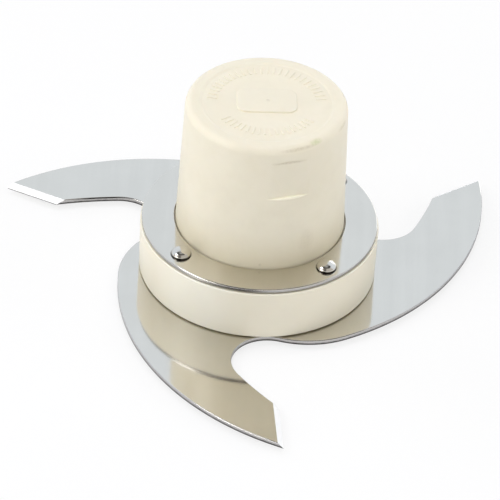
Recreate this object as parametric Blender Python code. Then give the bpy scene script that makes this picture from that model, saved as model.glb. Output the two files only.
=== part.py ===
# Three-arm grinder blade: a steel blank riveted under a cored plastic hub, with a steel ring on top.
# Lengths are in metres and angles in degrees.
# The origin is on the spin axis, at the blind end of the drive socket. +Z points out of the crown.

import math

import bmesh
import bpy
from mathutils import Matrix, Vector

# Clearances between the pieces
SEAT_GAP = 0.0003               # between faces that the rivets clamp together
RIVET_CLEARANCE = 0.0003        # radial, round a rivet's shank
BLADE_BORE_CLEARANCE = 0.0003   # radial, blade round the hub's spigot
RING_BORE_CLEARANCE = 0.0004    # radial, ring round the knob

# Knob
KNOB_HEIGHT = 0.0397            # above the ring
KNOB_TOP_RADIUS = 0.0224        # where the drafted side would meet the crown
KNOB_BASE_RADIUS = 0.0236       # at the ring
KNOB_EDGE_RADIUS = 0.0024
KNOB_WALL = 0.0025
CROWN_THICKNESS = 0.0034        # from the blind end of the socket to the top of the crown
CEILING_THICKNESS = 0.0028      # over the cored pockets round the socket
DISH_RADIUS = 0.0182            # shallow sunk face of the crown
DISH_DEPTH = 0.00025
DISH_WALL_RUN = 0.0002

# Raised pad on the crown
PAD_LENGTH = 0.0166
PAD_WIDTH = 0.0116
PAD_CORNER_RADIUS = 0.0028
PAD_HEIGHT = 0.00045            # above the dish
PAD_OFFSET = 0.0010             # of the pad's centre from the spin axis
PAD_TURN = 3.5

# Flat on the side of the knob
SIDE_FLAT_DISTANCE = 0.0221     # from the spin axis
SIDE_FLAT_DROP = 0.0046         # from the top of the crown
SIDE_FLAT_HEIGHT = 0.0118
SIDE_FLAT_BEARING = -70.8

# Flange
FLANGE_WIDTH = 0.0098           # how far it stands out from the base of the knob
FLANGE_HEIGHT = 0.0150
FLANGE_DRAFT = 0.0002           # how much smaller the flange is at the blade
FLANGE_EDGE = 0.0004            # bevel of its two rims
FLANGE_SKIRT_WALL = 0.0024
FLANGE_ROOF = 0.0026
CHANNEL_DRAFT = 0.0002
CHANNEL_RIB_COUNT = 12
CHANNEL_RIB_THICKNESS = 0.0016
CHANNEL_RIB_SETBACK = 0.0006    # from the blade
BOSS_WALL = 0.0016              # round a rivet hole
BOSS_SETBACK = 0.0001

# Spigot through the blade, which is also the foot
SPIGOT_STEP = 0.0005            # smaller than the knob by this
SPIGOT_WALL = 0.0022
SPIGOT_EDGE = 0.0003
FOOT_PROJECTION = 0.0018        # below the blade

# Drive sleeve inside the knob
SOCKET_ACROSS_FLATS = 0.0110
SOCKET_LEAD_IN = 0.0008
SLEEVE_RADIUS = 0.0092
SLEEVE_DRAFT = 0.0002
SLEEVE_LENGTH = 0.0260          # from the blind end of the socket to its mouth
SLEEVE_RIB_COUNT = 8
SLEEVE_RIB_THICKNESS = 0.0018
SLEEVE_RIB_SETBACK = 0.0040     # from the mouth of the sleeve

# Ring
RING_THICKNESS = 0.0012
RING_INSET = 0.0004             # from the flange's rim
RING_EDGE_RADIUS = 0.00035

# Blade. An arm's bearing is that of the inner border of the face ground along its front
ARM_COUNT = 3
FIRST_ARM_BEARING = 36.3
BLADE_THICKNESS = 0.0015
TIP_RADIUS = 0.0780             # where that border meets the swept back of the arm
TIP_ANGLE = 61.9                # between the two
GULLET_RADIUS = 0.0106
GULLET_UNDERCUT = 0.0009        # how far the gullet reaches in under the flange
GULLET_LAG = 119.4              # how far the gullet's centre lies behind the arm's bearing
ROOT_RADIUS = 0.0248            # convex turn between an arm's back and the gullet
ROOT_TURN = 159.7               # from the gullet's outward direction to the centre of that turn
LEADING_RADIUS = 0.1050         # hollow curve from the gullet out to the ground face
LEADING_REACH = 0.0073          # how far beyond the gullet the ground face starts
GRIND_WIDTH = 0.0016            # from the inner border of the ground face to the cutting edge
EDGE_LAND = 0.0002              # thickness left at the cutting edge
BLADE_EDGE_RADIUS = 0.00025     # tumbled corner of the sheet

# Rivets
RIVET_COUNT = 4
FIRST_RIVET_BEARING = 42.3
RIVET_RADIUS = 0.0015
RIVET_HEAD_RADIUS = 0.00285
RIVET_HEAD_HEIGHT = 0.00145
RIVET_HEAD_RIM = 0.0003
RIVET_TAIL_RADIUS = 0.0024
RIVET_TAIL_HEIGHT = 0.0009
RIVET_TAIL_EDGE = 0.0003

# Fineness of the round shapes
HUB_STEPS = 72
RIVET_STEPS = 20
HOLE_STEPS = 20
EDGE_STEPS = 5
RING_EDGE_STEPS = 3
DOME_STEPS = 5
CHORD_ERROR = 0.00004           # of the blade's arcs
SMOOTH_ANGLE = 32
OVERLAP = 0.0010                # how deep ribs and cutters run past the walls they meet

# Levels along the spin axis, from the crown down to the foot
CROWN_Z = CROWN_THICKNESS
DISH_Z = CROWN_Z - DISH_DEPTH
CEILING_Z = CROWN_Z - CEILING_THICKNESS
SLEEVE_MOUTH_Z = -SLEEVE_LENGTH
RING_TOP_Z = CROWN_Z - KNOB_HEIGHT
RING_BOTTOM_Z = RING_TOP_Z - RING_THICKNESS
FLANGE_TOP_Z = RING_BOTTOM_Z - SEAT_GAP
CHANNEL_TOP_Z = FLANGE_TOP_Z - FLANGE_ROOF
FLANGE_BOTTOM_Z = FLANGE_TOP_Z - FLANGE_HEIGHT
BLADE_TOP_Z = FLANGE_BOTTOM_Z - SEAT_GAP
BLADE_BOTTOM_Z = BLADE_TOP_Z - BLADE_THICKNESS
FOOT_Z = BLADE_BOTTOM_Z - FOOT_PROJECTION

# Radii that follow from the driving sizes
SPIGOT_RADIUS = KNOB_BASE_RADIUS - SPIGOT_STEP
BORE_MOUTH_RADIUS = SPIGOT_RADIUS - SPIGOT_WALL
BORE_TOP_RADIUS = KNOB_TOP_RADIUS - KNOB_WALL
FLANGE_RADIUS = KNOB_BASE_RADIUS + FLANGE_WIDTH
CHANNEL_INNER_RADIUS = KNOB_BASE_RADIUS
CHANNEL_OUTER_RADIUS = FLANGE_RADIUS - FLANGE_SKIRT_WALL
RING_RADIUS = FLANGE_RADIUS - RING_INSET
RING_BORE_RADIUS = KNOB_BASE_RADIUS + RING_BORE_CLEARANCE
BLADE_BORE_RADIUS = SPIGOT_RADIUS + BLADE_BORE_CLEARANCE
RIVET_PITCH_RADIUS = (KNOB_BASE_RADIUS + FLANGE_RADIUS) / 2
RIVET_HOLE_RADIUS = RIVET_RADIUS + RIVET_CLEARANCE
GULLET_PITCH_RADIUS = FLANGE_RADIUS - GULLET_UNDERCUT + GULLET_RADIUS
HEEL_RADIUS = GULLET_PITCH_RADIUS + GULLET_RADIUS + LEADING_REACH


def clear_scene():
    for old in list(bpy.data.objects):
        bpy.data.objects.remove(old, do_unlink=True)


def material(name, colour, roughness, metallic):
    made = bpy.data.materials.new(name)
    made.use_nodes = True
    shader = made.node_tree.nodes["Principled BSDF"]
    shader.inputs["Base Color"].default_value = (*colour, 1.0)
    shader.inputs["Roughness"].default_value = roughness
    shader.inputs["Metallic"].default_value = metallic
    return made


def finish(name, bm, parent=None, surface=None):
    """Turn a bmesh into a linked object with a clean, outward-facing, smooth-shaded mesh."""
    bmesh.ops.remove_doubles(bm, verts=bm.verts, dist=1e-7)
    bmesh.ops.recalc_face_normals(bm, faces=bm.faces)
    mesh = bpy.data.meshes.new(name)
    bm.to_mesh(mesh)
    bm.free()
    mesh.shade_smooth()
    mesh.set_sharp_from_angle(angle=math.radians(SMOOTH_ANGLE))
    if surface:
        mesh.materials.append(surface)
    made = bpy.data.objects.new(name, mesh)
    bpy.context.scene.collection.objects.link(made)
    made.parent = parent
    return made


def cutter(name, bm, parent):
    """A helper solid that only shapes other pieces."""
    made = finish(name, bm, parent)
    made.hide_render = True
    made.display_type = "WIRE"
    return made


def boolean(target, tool, operation):
    step = target.modifiers.new(tool.name, "BOOLEAN")
    step.operation = operation
    step.solver = "EXACT"
    step.object = tool


def polar(radius, bearing, z=0.0):
    turn = math.radians(bearing)
    return Vector((radius * math.cos(turn), radius * math.sin(turn), z))


def placed(bearing):
    return Matrix.Rotation(math.radians(bearing), 4, "Z")


def revolve(bm, profile, steps):
    """Spin a profile of (radius, z) points round the Z axis. Ends off the axis are joined."""
    points = [bm.verts.new((radius, 0.0, z)) for radius, z in profile]
    pairs = list(zip(points, points[1:]))
    if profile[0][0] > 0.0:
        pairs.append((points[-1], points[0]))
    lines = [bm.edges.new(pair) for pair in pairs]
    bmesh.ops.spin(bm, geom=points + lines, cent=(0, 0, 0), axis=(0, 0, 1),
                   angle=math.tau, steps=steps, use_merge=True)


def quarter(centre, radius, first, last, steps):
    """Points of a profile's rounded corner, from one direction to another."""
    turns = [math.radians(first + (last - first) * k / steps) for k in range(steps + 1)]
    return [(centre[0] + radius * math.cos(t), centre[1] + radius * math.sin(t)) for t in turns]


def prism(bm, outline, low, high, matrix=Matrix.Identity(4)):
    """Extrude a flat outline of (x, y) points from one level to another."""
    base = [bm.verts.new(matrix @ Vector((x, y, low))) for x, y in outline]
    face = bm.faces.new(base)
    raised = bmesh.ops.extrude_face_region(bm, geom=[face])
    moved = [item for item in raised["geom"] if isinstance(item, bmesh.types.BMVert)]
    bmesh.ops.translate(bm, verts=moved, vec=(0, 0, high - low))


def block(bm, x_range, y_range, z_range, matrix):
    outline = [(x_range[0], y_range[0]), (x_range[1], y_range[0]),
               (x_range[1], y_range[1]), (x_range[0], y_range[1])]
    prism(bm, outline, z_range[0], z_range[1], matrix)


def circle_outline(centre, radius, steps):
    turns = [math.tau * k / steps for k in range(steps)]
    return [(centre.x + radius * math.cos(t), centre.y + radius * math.sin(t)) for t in turns]


def hexagon(across_flats):
    return circle_outline(Vector((0, 0, 0)), across_flats / 2 / math.cos(math.pi / 6), 6)


def rivet_bearings():
    return [FIRST_RIVET_BEARING + 360 / RIVET_COUNT * k for k in range(RIVET_COUNT)]


def arm_bearings():
    return [FIRST_ARM_BEARING + 360 / ARM_COUNT * k for k in range(ARM_COUNT)]


def hub_profile():
    """Half section of the moulding, down its outer side and back up inside it."""
    side_slope = (KNOB_BASE_RADIUS - KNOB_TOP_RADIUS) / KNOB_HEIGHT
    lean = math.degrees(math.atan(side_slope))
    edge_centre_z = CROWN_Z - KNOB_EDGE_RADIUS
    edge_top_radius = KNOB_TOP_RADIUS + side_slope * KNOB_EDGE_RADIUS - KNOB_EDGE_RADIUS
    knob_edge = quarter((edge_top_radius, edge_centre_z), KNOB_EDGE_RADIUS, 90, lean, EDGE_STEPS)
    flange_foot = FLANGE_RADIUS - FLANGE_DRAFT
    crown = [(0.0, DISH_Z), (DISH_RADIUS, DISH_Z), (DISH_RADIUS + DISH_WALL_RUN, CROWN_Z)]
    knob_side = [(KNOB_BASE_RADIUS, RING_TOP_Z), (KNOB_BASE_RADIUS, FLANGE_TOP_Z)]
    flange = [(FLANGE_RADIUS - FLANGE_EDGE, FLANGE_TOP_Z),
              (FLANGE_RADIUS, FLANGE_TOP_Z - FLANGE_EDGE),
              (flange_foot, FLANGE_BOTTOM_Z + FLANGE_EDGE),
              (flange_foot - FLANGE_EDGE, FLANGE_BOTTOM_Z)]
    channel = [(CHANNEL_OUTER_RADIUS, FLANGE_BOTTOM_Z),
               (CHANNEL_OUTER_RADIUS - CHANNEL_DRAFT, CHANNEL_TOP_Z),
               (CHANNEL_INNER_RADIUS + CHANNEL_DRAFT, CHANNEL_TOP_Z),
               (CHANNEL_INNER_RADIUS, FLANGE_BOTTOM_Z)]
    spigot = [(SPIGOT_RADIUS, FLANGE_BOTTOM_Z), (SPIGOT_RADIUS, FOOT_Z + SPIGOT_EDGE),
              (SPIGOT_RADIUS - SPIGOT_EDGE, FOOT_Z), (BORE_MOUTH_RADIUS, FOOT_Z)]
    inside = [(BORE_TOP_RADIUS, CEILING_Z), (SLEEVE_RADIUS, CEILING_Z),
              (SLEEVE_RADIUS - SLEEVE_DRAFT, SLEEVE_MOUTH_Z), (0.0, SLEEVE_MOUTH_Z)]
    return crown + knob_edge + knob_side + flange + channel + spigot + inside


def sleeve_ribs(axis):
    bm = bmesh.new()
    half = SLEEVE_RIB_THICKNESS / 2
    reach = (SLEEVE_RADIUS - OVERLAP, BORE_TOP_RADIUS + OVERLAP)
    levels = (SLEEVE_MOUTH_Z + SLEEVE_RIB_SETBACK, CEILING_Z + OVERLAP)
    for k in range(SLEEVE_RIB_COUNT):
        block(bm, reach, (-half, half), levels, placed(360 / SLEEVE_RIB_COUNT * k))
    return cutter("sleeve_ribs_guide", bm, axis)


def channel_ribs(axis):
    bm = bmesh.new()
    half = CHANNEL_RIB_THICKNESS / 2
    reach = (CHANNEL_INNER_RADIUS - OVERLAP, CHANNEL_OUTER_RADIUS + OVERLAP)
    levels = (FLANGE_BOTTOM_Z + CHANNEL_RIB_SETBACK, CHANNEL_TOP_Z + OVERLAP)
    for k in range(CHANNEL_RIB_COUNT):
        bearing = FIRST_RIVET_BEARING + 360 / CHANNEL_RIB_COUNT * k
        block(bm, reach, (-half, half), levels, placed(bearing))
    return cutter("channel_ribs_guide", bm, axis)


def rivet_bosses(axis):
    bm = bmesh.new()
    for bearing in rivet_bearings():
        outline = circle_outline(polar(RIVET_PITCH_RADIUS, bearing),
                                 RIVET_HOLE_RADIUS + BOSS_WALL, HOLE_STEPS)
        prism(bm, outline, FLANGE_BOTTOM_Z + BOSS_SETBACK, CHANNEL_TOP_Z + OVERLAP)
    return cutter("rivet_bosses_guide", bm, axis)


def rivet_holes(axis):
    """The four holes are drilled through ring, flange and blade in one go."""
    bm = bmesh.new()
    for bearing in rivet_bearings():
        outline = circle_outline(polar(RIVET_PITCH_RADIUS, bearing), RIVET_HOLE_RADIUS, HOLE_STEPS)
        prism(bm, outline, BLADE_BOTTOM_Z - OVERLAP, RING_TOP_Z + OVERLAP)
    return cutter("rivet_holes_cutter", bm, axis)


def drive_socket(axis):
    """Hexagonal socket with a flared mouth, up to its blind end at the origin."""
    bm = bmesh.new()
    flared = SOCKET_ACROSS_FLATS + 2 * (SOCKET_LEAD_IN + OVERLAP)
    sections = [(flared, SLEEVE_MOUTH_Z - OVERLAP),
                (SOCKET_ACROSS_FLATS, SLEEVE_MOUTH_Z + SOCKET_LEAD_IN),
                (SOCKET_ACROSS_FLATS, 0.0)]
    loops = [[bm.verts.new((x, y, z)) for x, y in hexagon(width)] for width, z in sections]
    for lower, upper in zip(loops, loops[1:]):
        for k in range(6):
            bm.faces.new((lower[k], lower[(k + 1) % 6], upper[(k + 1) % 6], upper[k]))
    bm.faces.new(loops[0])
    bm.faces.new(loops[-1])
    return cutter("drive_socket_cutter", bm, axis)


def side_flat(axis):
    bm = bmesh.new()
    depth = (SIDE_FLAT_DISTANCE, KNOB_BASE_RADIUS + OVERLAP)
    high = CROWN_Z - SIDE_FLAT_DROP
    block(bm, depth, (-KNOB_BASE_RADIUS, KNOB_BASE_RADIUS), (high - SIDE_FLAT_HEIGHT, high),
          placed(SIDE_FLAT_BEARING))
    return cutter("side_flat_cutter", bm, axis)


def crown_pad(axis):
    bm = bmesh.new()
    dx = PAD_LENGTH / 2 - PAD_CORNER_RADIUS
    dy = PAD_WIDTH / 2 - PAD_CORNER_RADIUS
    corners = ((dx, dy, 0), (-dx, dy, 90), (-dx, -dy, 180), (dx, -dy, 270))
    outline = []
    for x, y, start in corners:
        outline += quarter((x, y), PAD_CORNER_RADIUS, start, start + 90, EDGE_STEPS)
    shift = placed(PAD_TURN) @ Matrix.Translation((0, PAD_OFFSET, 0))
    prism(bm, outline, DISH_Z - OVERLAP, DISH_Z + PAD_HEIGHT, shift)
    return cutter("crown_pad_guide", bm, axis)


def make_hub(axis, holes):
    cream = material("cream_plastic", (0.86, 0.80, 0.66), 0.38, 0.0)
    bm = bmesh.new()
    revolve(bm, hub_profile(), HUB_STEPS)
    hub = finish("hub", bm, axis, cream)
    for guide in (sleeve_ribs(axis), channel_ribs(axis), rivet_bosses(axis), crown_pad(axis)):
        boolean(hub, guide, "UNION")
    for tool in (drive_socket(axis), side_flat(axis), holes):
        boolean(hub, tool, "DIFFERENCE")


def make_ring(axis, holes):
    steel = material("ring_steel", (0.72, 0.73, 0.72), 0.20, 1.0)
    r = RING_EDGE_RADIUS
    outer = RING_RADIUS - r
    upper = quarter((outer, RING_TOP_Z - r), r, 90, 0, RING_EDGE_STEPS)
    lower = quarter((outer, RING_BOTTOM_Z + r), r, 0, -90, RING_EDGE_STEPS)
    profile = upper + lower + [(RING_BORE_RADIUS, RING_BOTTOM_Z), (RING_BORE_RADIUS, RING_TOP_Z)]
    bm = bmesh.new()
    revolve(bm, profile, HUB_STEPS)
    ring = finish("top_ring", bm, axis, steel)
    boolean(ring, holes, "DIFFERENCE")


def circle_meeting(first, first_reach, second, second_reach, side):
    """Point at given distances from two centres, on the left (+1) or right (-1) of their line."""
    across = second - first
    gap = across.length
    along = (first_reach ** 2 - second_reach ** 2 + gap ** 2) / (2 * gap)
    off = math.sqrt(first_reach ** 2 - along ** 2)
    ahead = across / gap
    return first + ahead * along + Vector((-ahead.y, ahead.x, 0)) * off * side


def arc(centre, start, end, turn):
    """Points from start to end round a centre, counter-clockwise (+1) or clockwise (-1)."""
    radius = (start - centre).length
    first = math.atan2(start.y - centre.y, start.x - centre.x)
    last = math.atan2(end.y - centre.y, end.x - centre.x)
    sweep = turn * ((turn * (last - first)) % math.tau)
    step = 2 * math.acos(1 - CHORD_ERROR / radius)
    count = max(2, math.ceil(abs(sweep) / step))
    turns = [first + sweep * k / count for k in range(count + 1)]
    return [centre + Vector((math.cos(t), math.sin(t), 0)) * radius for t in turns]


def arm_outline():
    """Edge of the arm at bearing 0 and of the gullet behind it, clockwise from the arm's tip."""
    tip = Vector((TIP_RADIUS, 0, 0))
    to_back = Vector((-math.sin(math.radians(TIP_ANGLE)), math.cos(math.radians(TIP_ANGLE)), 0))
    gullet = polar(GULLET_PITCH_RADIUS, -GULLET_LAG)
    root = gullet + polar(GULLET_RADIUS + ROOT_RADIUS, ROOT_TURN - GULLET_LAG)
    span = tip - root
    back_radius = (ROOT_RADIUS ** 2 - span.length_squared) / (2 * (to_back.dot(span) + ROOT_RADIUS))
    back = tip + to_back * back_radius
    heel = polar(HEEL_RADIUS, -360 / ARM_COUNT)
    leading = circle_meeting(gullet, LEADING_RADIUS - GULLET_RADIUS, heel, LEADING_RADIUS, 1)

    back_to_root = back + (root - back).normalized() * back_radius
    root_to_gullet = gullet + (root - gullet).normalized() * GULLET_RADIUS
    gullet_to_leading = gullet + (gullet - leading).normalized() * GULLET_RADIUS

    edge_tip_x = back.x + math.sqrt(back_radius ** 2 - (GRIND_WIDTH - back.y) ** 2)
    edge_tip = Vector((edge_tip_x, GRIND_WIDTH, 0))
    ahead = placed(360 / ARM_COUNT) @ leading
    edge_heel_x = ahead.x + math.sqrt(LEADING_RADIUS ** 2 - (GRIND_WIDTH - ahead.y) ** 2)
    edge_heel = placed(-360 / ARM_COUNT) @ Vector((edge_heel_x, GRIND_WIDTH, 0))

    points = arc(back, edge_tip, back_to_root, -1)
    points += arc(root, back_to_root, root_to_gullet, -1)[1:]
    points += arc(gullet, root_to_gullet, gullet_to_leading, 1)[1:]
    points += arc(leading, gullet_to_leading, edge_heel, 1)[1:]
    return points


def blade_blank(axis, surface):
    """The stamped sheet with tumbled corners, before its edges are ground."""
    outline = []
    one_arm = arm_outline()
    for bearing in reversed(arm_bearings()):
        outline += [placed(bearing) @ point for point in one_arm]
    bm = bmesh.new()
    prism(bm, [(point.x, point.y) for point in outline], BLADE_BOTTOM_Z, BLADE_TOP_Z)
    bmesh.ops.recalc_face_normals(bm, faces=bm.faces)
    longest = (TIP_RADIUS - HEEL_RADIUS) / 2
    rims = [edge for edge in bm.edges
            if edge.verts[0].co.z == edge.verts[1].co.z and edge.calc_length() < longest]
    bmesh.ops.bevel(bm, geom=rims, offset=BLADE_EDGE_RADIUS, offset_type="OFFSET",
                    segments=2, profile=0.5, affect="EDGES", clamp_overlap=True)
    return finish("blade", bm, axis, surface)


def blade_grinds(axis):
    """A wedge along each arm that leaves the ground face, from the top down to the edge."""
    fall = (BLADE_THICKNESS - EDGE_LAND) / GRIND_WIDTH
    inner = HEEL_RADIUS - GULLET_RADIUS
    outer = TIP_RADIUS + GULLET_RADIUS
    back = -GRIND_WIDTH / 2
    front = GRIND_WIDTH * 3 / 2
    above = BLADE_TOP_Z - back * fall + OVERLAP
    section = [(back, BLADE_TOP_Z - back * fall), (front, BLADE_TOP_Z - front * fall),
               (front, above), (back, above)]
    bm = bmesh.new()
    for bearing in arm_bearings():
        ends = [[bm.verts.new(placed(bearing) @ Vector((x, y, z))) for y, z in section]
                for x in (inner, outer)]
        bm.faces.new(ends[0])
        bm.faces.new(ends[1])
        for k in range(4):
            bm.faces.new((ends[0][k], ends[0][(k + 1) % 4], ends[1][(k + 1) % 4], ends[1][k]))
    return cutter("grind_cutter", bm, axis)


def blade_bore(axis):
    bm = bmesh.new()
    outline = circle_outline(Vector((0, 0, 0)), BLADE_BORE_RADIUS, HUB_STEPS)
    prism(bm, outline, BLADE_BOTTOM_Z - OVERLAP, BLADE_TOP_Z + OVERLAP)
    return cutter("blade_bore_cutter", bm, axis)


def make_blade(axis, holes):
    steel = material("blade_steel", (0.74, 0.75, 0.75), 0.18, 1.0)
    blade = blade_blank(axis, steel)
    for tool in (blade_grinds(axis), blade_bore(axis), holes):
        boolean(blade, tool, "DIFFERENCE")


def rivet_profile():
    """Half section of a set rivet, its origin under the head."""
    tail_top = BLADE_BOTTOM_Z - SEAT_GAP - (RING_TOP_Z + SEAT_GAP)
    tail_bottom = tail_top - RIVET_TAIL_HEIGHT
    dome = RIVET_HEAD_HEIGHT - RIVET_HEAD_RIM
    head = []
    for k in range(DOME_STEPS + 1):
        turn = math.pi / 2 * (1 - k / DOME_STEPS)
        radius = RIVET_HEAD_RADIUS * math.cos(turn) if k else 0.0
        head.append((radius, RIVET_HEAD_RIM + dome * math.sin(turn)))
    shank = [(RIVET_HEAD_RADIUS, 0.0), (RIVET_RADIUS, 0.0), (RIVET_RADIUS, tail_top)]
    tail = [(RIVET_TAIL_RADIUS, tail_top), (RIVET_TAIL_RADIUS, tail_bottom + RIVET_TAIL_EDGE),
            (RIVET_TAIL_RADIUS - RIVET_TAIL_EDGE, tail_bottom), (0.0, tail_bottom)]
    return head + shank + tail


def make_rivets(axis):
    steel = material("rivet_steel", (0.70, 0.70, 0.69), 0.16, 1.0)
    bm = bmesh.new()
    revolve(bm, rivet_profile(), RIVET_STEPS)
    first = finish("rivet_1", bm, axis, steel)
    rivets = [first]
    for k in range(1, RIVET_COUNT):
        copy = bpy.data.objects.new(f"rivet_{k + 1}", first.data)
        bpy.context.scene.collection.objects.link(copy)
        copy.parent = axis
        rivets.append(copy)
    for rivet, bearing in zip(rivets, rivet_bearings()):
        rivet.location = polar(RIVET_PITCH_RADIUS, bearing, RING_TOP_Z + SEAT_GAP)
        rivet.rotation_euler.z = math.radians(bearing)


clear_scene()
spin_axis = bpy.data.objects.new("spin_axis", None)
bpy.context.scene.collection.objects.link(spin_axis)
drilled = rivet_holes(spin_axis)
make_hub(spin_axis, drilled)
make_ring(spin_axis, drilled)
make_blade(spin_axis, drilled)
make_rivets(spin_axis)
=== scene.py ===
# Grinder blade: a three-arm steel blade riveted under a cream plastic hub, with a steel ring on top.
# Metres and degrees. The origin is on the spin axis, at the blind end of the drive socket.

import math

import bmesh
import bpy
from mathutils import Matrix, Vector


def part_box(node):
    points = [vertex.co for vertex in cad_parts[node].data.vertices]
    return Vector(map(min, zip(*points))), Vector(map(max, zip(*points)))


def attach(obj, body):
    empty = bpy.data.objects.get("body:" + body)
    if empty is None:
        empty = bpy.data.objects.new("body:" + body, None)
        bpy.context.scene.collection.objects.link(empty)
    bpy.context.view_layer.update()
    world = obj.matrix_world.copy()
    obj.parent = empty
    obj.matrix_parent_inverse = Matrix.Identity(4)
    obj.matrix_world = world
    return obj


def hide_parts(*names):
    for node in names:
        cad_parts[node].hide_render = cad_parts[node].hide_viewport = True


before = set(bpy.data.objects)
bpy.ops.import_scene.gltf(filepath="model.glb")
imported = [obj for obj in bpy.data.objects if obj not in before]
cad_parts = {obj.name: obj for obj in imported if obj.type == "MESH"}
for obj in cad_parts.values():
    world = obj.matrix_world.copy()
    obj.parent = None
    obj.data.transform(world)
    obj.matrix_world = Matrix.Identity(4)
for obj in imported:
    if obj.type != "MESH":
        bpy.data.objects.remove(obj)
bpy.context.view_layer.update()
scene = bpy.context.scene
scene.view_settings.view_transform = "Standard"


# Studio. A long lens looks down on the cutter, which stands on a white sweep.
# Soft lamps hang overhead and stand all round it. Polished metal mirrors a white room whose ceiling
# and camera side are dim, and three of the lamps. The other lamps are hidden from it.
table_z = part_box("hub")[0].z
camera_elevation = 37.726
camera_turn = 3.5075
camera_distance = 1.28134
lens_in_widths = 9.0917
blade_top_on_axis = Vector((0.0, 0.0, -0.0531))
aim = Vector((-0.00218, 0.00242, -0.04998))
pure_white = (1.0, 1.0, 1.0, 1.0)
wall_white = (0.95, 1.03, 1.15, 1.0)
front_wall_grey = (0.66, 0.64, 0.61, 1.0)
dark_corner_grey = (0.19, 0.18, 0.175, 1.0)
ceiling_grey = (0.55, 0.56, 0.58, 1.0)
front_ceiling_grey = (0.20, 0.19, 0.18, 1.0)
ceiling_gap_grey = (0.06, 0.06, 0.06, 1.0)
ceiling_starts = 0.82
fill_strength = 0.25
paper_white = (0.93, 0.93, 0.93, 1.0)
backdrop_glow = 0.80
sweep_reach = 6.0

elevation = math.radians(camera_elevation)
towards_camera = Vector((0.0, -math.cos(elevation), math.sin(elevation)))
camera_data = bpy.data.cameras.new("camera")
camera_data.sensor_width = 36.0
camera_data.lens = lens_in_widths * camera_data.sensor_width
camera = bpy.data.objects.new("camera", camera_data)
camera.location = blade_top_on_axis + towards_camera * camera_distance
looking = (aim - camera.location).to_track_quat("-Z", "Y").to_matrix().to_4x4()
camera.rotation_euler = (looking @ Matrix.Rotation(math.radians(camera_turn), 4, "Z")).to_euler()
scene.collection.objects.link(camera)
scene.camera = camera
hub_middle = Vector((0.0, 0.0, -0.02))


def lamp(name, place, size, watts, colour, mirrored=True):
    """A rectangular lamp that faces the hub. Gloss shows it only where it is mirrored."""
    data = bpy.data.lights.new(name, "AREA")
    data.shape = "RECTANGLE"
    data.size, data.size_y = size
    data.energy = watts
    data.color = colour
    made = bpy.data.objects.new(name, data)
    made.location = place
    made.rotation_euler = (hub_middle - made.location).to_track_quat("-Z", "Y").to_euler()
    made.visible_glossy = mirrored
    scene.collection.objects.link(made)


lamp("overhead", Vector((0.0, 0.05, 1.3)), (0.9, 0.9), 6.6, (0.99, 1.0, 1.09), mirrored=False)
lamp("front_high", Vector((0.0, -0.9, 1.1)), (0.7, 0.7), 3.2, (1.0, 1.0, 1.0), mirrored=False)
lamp("left_high", Vector((-0.95, -0.35, 0.95)), (0.5, 0.5), 4.2, (0.99, 1.0, 1.02))
lamp("left_back", Vector((-1.0, 0.6, 0.5)), (0.7, 0.7), 3.3, (1.0, 1.0, 1.01), mirrored=False)
lamp("front_left", Vector((-0.95, -0.74, 0.20)), (0.70, 0.18), 2.7, (1.0, 1.0, 0.98))
lamp("right_low", Vector((1.2, 0.0, 0.35)), (1.1, 0.7), 5.3, (1.0, 0.99, 0.95), mirrored=False)
lamp("right_back", Vector((0.5, 1.1, 0.28)), (0.6, 0.35), 1.2, (1.0, 1.0, 1.0))


class Tree:
    """Adds nodes to a node tree and links them in one call."""

    def __init__(self, tree):
        self.tree = tree

    def add(self, kind, settings=None, **inputs):
        node = self.tree.nodes.new(kind)
        for key, value in (settings or {}).items():
            setattr(node, key, value)
        for key, value in inputs.items():
            self.put(node, key, value)
        return node

    def put(self, node, key, value):
        """Links or sets an input, given by its label with _ for a space, or by number as i0, i1."""
        by_number = key[0] == "i" and key[1:].isdigit()
        socket = node.inputs[int(key[1:]) if by_number else key.replace("_", " ")]
        if isinstance(value, bpy.types.NodeSocket):
            self.tree.links.new(value, socket)
        else:
            socket.default_value = value

    def maths(self, operation, first, second=0.0, third=0.0, clamp=False):
        node = self.add("ShaderNodeMath", {"operation": operation, "use_clamp": clamp},
                        i0=first, i1=second, i2=third)
        return node.outputs[0]

    def ramp(self, factor, stops):
        node = self.add("ShaderNodeValToRGB", Fac=factor)
        band = node.color_ramp
        while len(band.elements) < len(stops):
            band.elements.new(0.5)
        for element, (place, colour) in zip(band.elements, stops):
            element.position = place
            element.color = (*colour, 1.0) if len(colour) == 3 else colour
        return node.outputs["Color"]

    def mix(self, factor, first, second):
        node = self.add("ShaderNodeMix", {"data_type": "RGBA"}, i0=factor, i6=first, i7=second)
        return node.outputs[2]

    def window(self, value, low, high, soft):
        """1 between two values and 0 outside them, with soft ends."""
        rise = self.maths("MULTIPLY_ADD", value, 1 / soft, -low / soft, clamp=True)
        fall = self.maths("MULTIPLY_ADD", value, -1 / soft, high / soft, clamp=True)
        return self.maths("MULTIPLY", rise, fall)


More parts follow.
